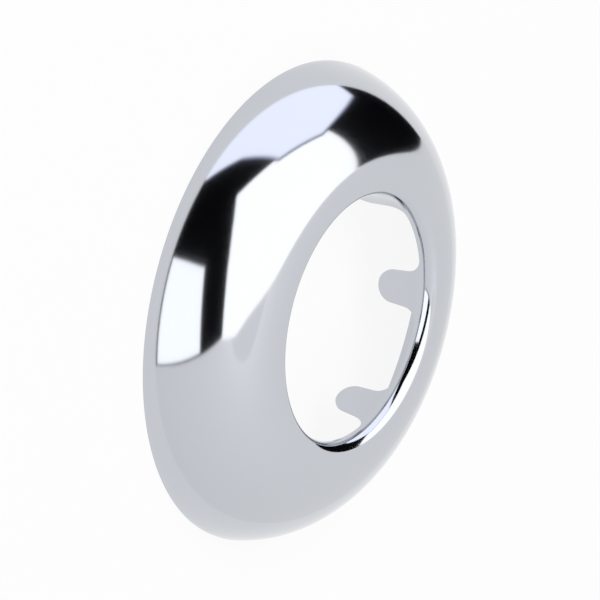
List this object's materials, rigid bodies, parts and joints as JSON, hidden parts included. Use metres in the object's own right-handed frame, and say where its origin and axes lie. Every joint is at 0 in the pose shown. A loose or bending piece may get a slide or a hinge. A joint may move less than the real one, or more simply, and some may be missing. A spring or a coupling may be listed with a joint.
{
  "type": "pipe rosette",
  "caption": "Domed chrome cover ring for a pipe at a wall, pressed from one sheet, with a curled hole and sprung tabs that grip the pipe.",
  "frame": {"origin": "centre of the rim's plane, where the ring meets the wall", "axes": "+Z along the pipe, away from the wall; +X through the middle of one spring tab"},
  "size_m": [0.08, 0.08, 0.0147],
  "materials": {
    "chrome_plate": "bright polished chrome plating on pressed steel sheet, with fine drawing marks at the rim and on the tabs"
  },
  "bodies": {
    "root": {"rosette": "chrome_plate"}
  },
  "joints": []
}
